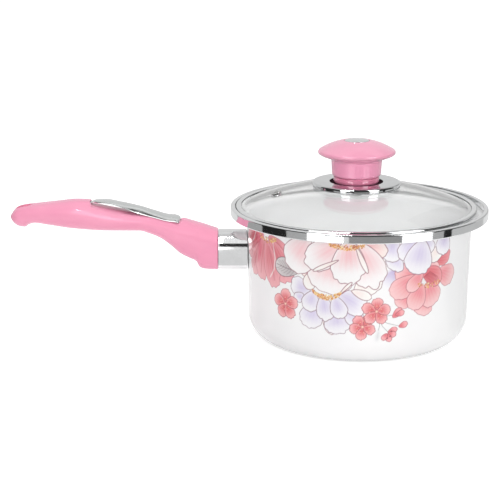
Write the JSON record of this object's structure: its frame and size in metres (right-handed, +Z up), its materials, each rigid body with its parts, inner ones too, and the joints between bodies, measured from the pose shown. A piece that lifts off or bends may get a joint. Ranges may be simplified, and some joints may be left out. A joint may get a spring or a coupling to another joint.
{
  "type": "saucepan with glass lid",
  "caption": "Small enamelled saucepan with a long moulded handle, a steel rim band and a lift-off domed glass lid with a mushroom knob.",
  "frame": {"origin": "middle of the pan's flat underside, on the pan's axis", "axes": "+Z up along the pan's axis, the handle points along -X, +Y completes the frame"},
  "size_m": [0.3173, 0.171, 0.1338],
  "materials": {
    "enamel": "glossy white vitreous enamel with a printed flower pattern",
    "polished_steel": "mirror-polished stainless steel",
    "bracket_steel": "plain pressed steel",
    "pink_phenolic": "glossy moulded pink",
    "deep_pink_phenolic": "glossy moulded deep pink",
    "chrome_trim": "bright chrome plate",
    "fastener_steel": "zinc plated",
    "lid_glass": "clear tempered glass",
    "brass": "plain turned brass",
    "silicone": "translucent matt silicone"
  },
  "bodies": {
    "pan": {"pot_body": "enamel", "pot_rim_band": "polished_steel", "handle_bracket": "bracket_steel", "ferrule": "polished_steel", "handle_grip": "pink_phenolic", "handle_trim_strip": "chrome_trim", "strip_stud": "fastener_steel", "handle_screw": "fastener_steel", "handle_screw_washer": "fastener_steel", "tang_nut": "fastener_steel"},
    "lid": {"lid_glass": "lid_glass", "lid_rim_band": "polished_steel", "vent_eyelet": "polished_steel", "knob_rose": "chrome_trim", "knob_collar": "deep_pink_phenolic", "knob_body": "pink_phenolic", "knob_cap_disc": "chrome_trim", "knob_insert": "brass", "gasket_upper": "silicone", "gasket_lower": "silicone", "knob_screw_washer": "fastener_steel", "knob_screw": "fastener_steel"}
  },
  "joints": [
    {"name": "lid_lift", "type": "slide", "parent": "pan", "child": "lid", "axis": [0, 0, 1], "range_m": [0, 0.12]}
  ]
}
